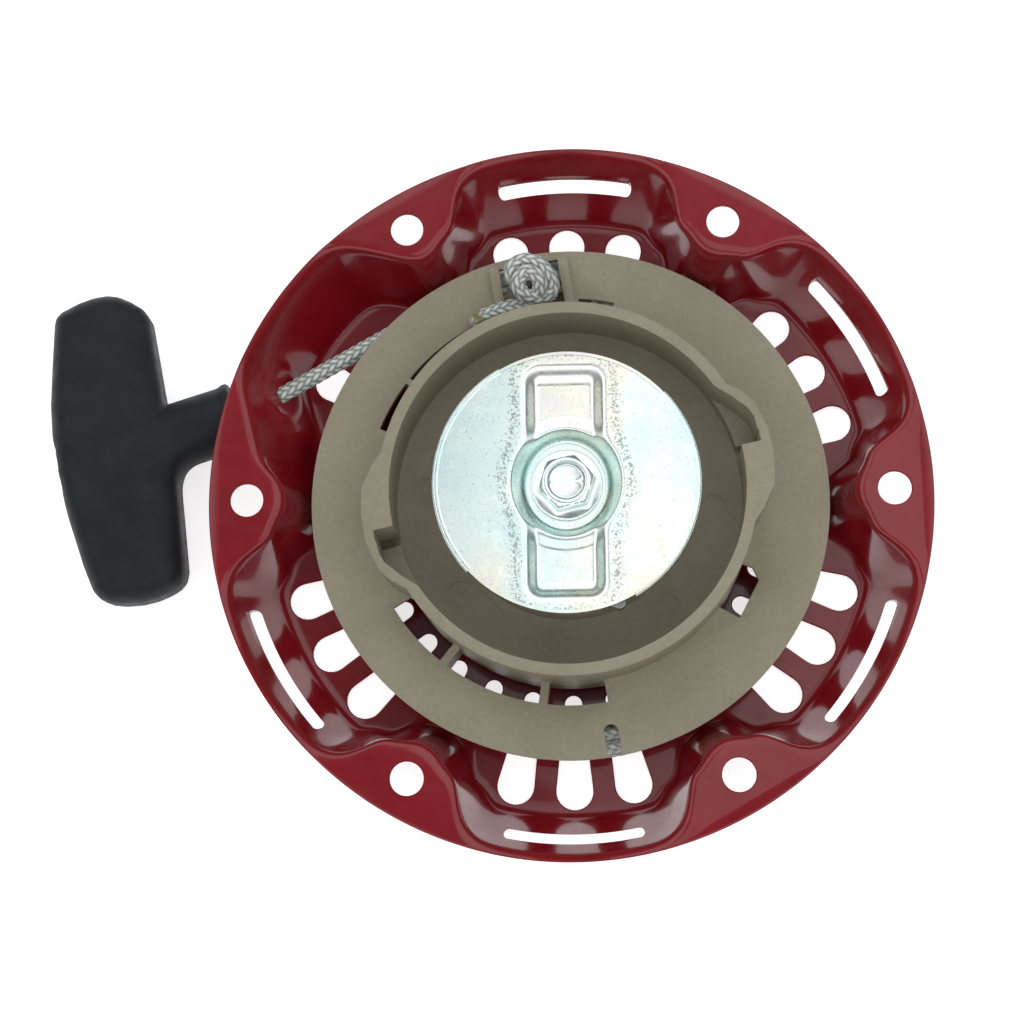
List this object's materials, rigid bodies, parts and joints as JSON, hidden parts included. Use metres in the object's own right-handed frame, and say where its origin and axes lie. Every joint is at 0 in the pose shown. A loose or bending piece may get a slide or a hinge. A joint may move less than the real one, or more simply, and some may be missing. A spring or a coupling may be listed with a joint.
{
  "type": "recoil starter",
  "caption": "Recoil starter: a lobed pressed-steel bowl holding a sprung rope reel, ratchet pawls, guide plate and T-shaped pull handle.",
  "frame": {"origin": "centre of the six-bolt circle, in the mounting plane of the flange", "axes": "+Z along the starter's axis towards the engine, +Y towards the lobe that lies midway between two bolt pads, -X towards the handle"},
  "size_m": [0.2442, 0.196, 0.0463],
  "materials": {
    "red_paint": "gloss baked enamel over pressed steel",
    "plain_steel": "turned steel, light oil",
    "spring_steel": "blued spring strip, greased",
    "spring_wire": "bright drawn wire",
    "nylon": "moulded glass-filled nylon, fine matte",
    "zinc_plate": "bright blue-passivated zinc plating",
    "rope_braid": "braided nylon, satin, lightly soiled",
    "black_grip": "moulded black plastic, fine spark texture"
  },
  "bodies": {
    "housing": {"housing": "red_paint", "centre_post": "plain_steel", "recoil_spring": "spring_steel", "guide_bolt": "zinc_plate", "rope_run": "rope_braid", "rope_pull": "rope_braid"},
    "reel": {"reel": "nylon", "reel_cup": "nylon", "rope_wound": "rope_braid", "rope_anchor_knot": "rope_braid", "rope_tail": "rope_braid"},
    "guide": {"guide_plate": "zinc_plate", "friction_spring": "spring_wire"},
    "pawl_a": {"pawl_a": "plain_steel", "pawl_spring_a": "spring_wire"},
    "pawl_b": {"pawl_b": "plain_steel", "pawl_spring_b": "spring_wire"},
    "handle": {"handle_grip": "black_grip", "grip_plate": "plain_steel", "grip_knot": "rope_braid", "rope_in_grip": "rope_braid"}
  },
  "joints": [
    {"name": "reel_spin", "type": "hinge", "parent": "housing", "child": "reel", "pos_m": [0, 0, 0], "axis": [0, 0, 1], "range_deg": [0, 1260], "stiffness_Nm_per_rad": 0.02, "springref_deg": -360, "deforming": ["recoil_spring"]},
    {"name": "handle_pull", "type": "slide", "parent": "housing", "child": "handle", "axis": [-0.9563, -0.2924, 0], "range_m": [0, 1.465], "deforming": ["rope_pull"]},
    {"name": "guide_turn", "type": "hinge", "parent": "reel", "child": "guide", "pos_m": [0, 0, 0], "axis": [0, 0, 1], "range_deg": [-11.4, 0]},
    {"name": "pawl_a_swing", "type": "hinge", "parent": "reel", "child": "pawl_a", "pos_m": [0.0085, 0.01472, 0.005], "axis": [0, 0, 1], "range_deg": [-35, 0], "deforming": ["pawl_spring_a"]},
    {"name": "pawl_b_swing", "type": "hinge", "parent": "reel", "child": "pawl_b", "pos_m": [-0.0085, -0.01472, 0.005], "axis": [0, 0, 1], "range_deg": [-35, 0], "deforming": ["pawl_spring_b"]}
  ],
  "couplings": [
    {"joint": "handle_pull", "follows": "reel_spin", "m_per_rad": 0.0666},
    {"joint": "pawl_a_swing", "follows": "guide_turn", "ratio": 3.05},
    {"joint": "pawl_b_swing", "follows": "guide_turn", "ratio": 3.05}
  ]
}
